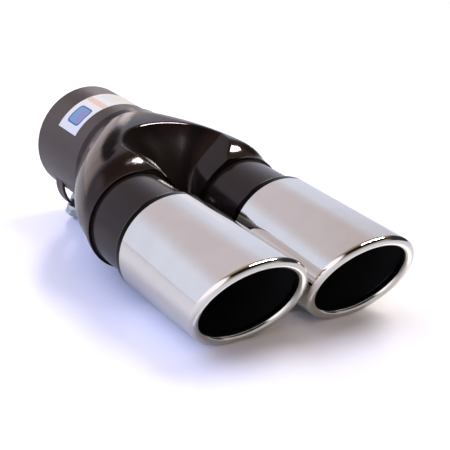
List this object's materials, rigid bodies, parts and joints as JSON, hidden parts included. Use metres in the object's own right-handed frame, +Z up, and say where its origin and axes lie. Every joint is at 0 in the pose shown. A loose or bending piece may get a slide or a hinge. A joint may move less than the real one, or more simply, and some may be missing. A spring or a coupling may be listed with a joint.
{
  "type": "exhaust tip",
  "caption": "Twin exhaust tip: a clamp-on inlet pipe, a pressed Y-body and outlet pipes ending in polished oval tips with slant-cut, rolled mouths.",
  "frame": {"origin": "centre of the inlet mouth, on the inlet pipe's axis", "axes": "+Y out of the inlet mouth, towards the car; -Y towards the tips; +X to the right tip; +Z up"},
  "size_m": [0.131, 0.2275, 0.0767],
  "materials": {
    "pipe_paint": "satin black",
    "body_paint": "gloss black",
    "outlet_paint": "satin black",
    "chrome": "mirror polished",
    "zinc": "blue zinc plated",
    "paper": "paper label"
  },
  "bodies": {
    "root": {"inlet_pipe": "pipe_paint", "y_body": "body_paint", "outlet_pipe_left": "outlet_paint", "outlet_pipe_right": "outlet_paint", "tip_left": "chrome", "tip_right": "chrome", "clamp_bolt": "zinc", "clamp_washer": "zinc", "clamp_nut": "zinc", "paper_label": "paper"}
  },
  "joints": []
}
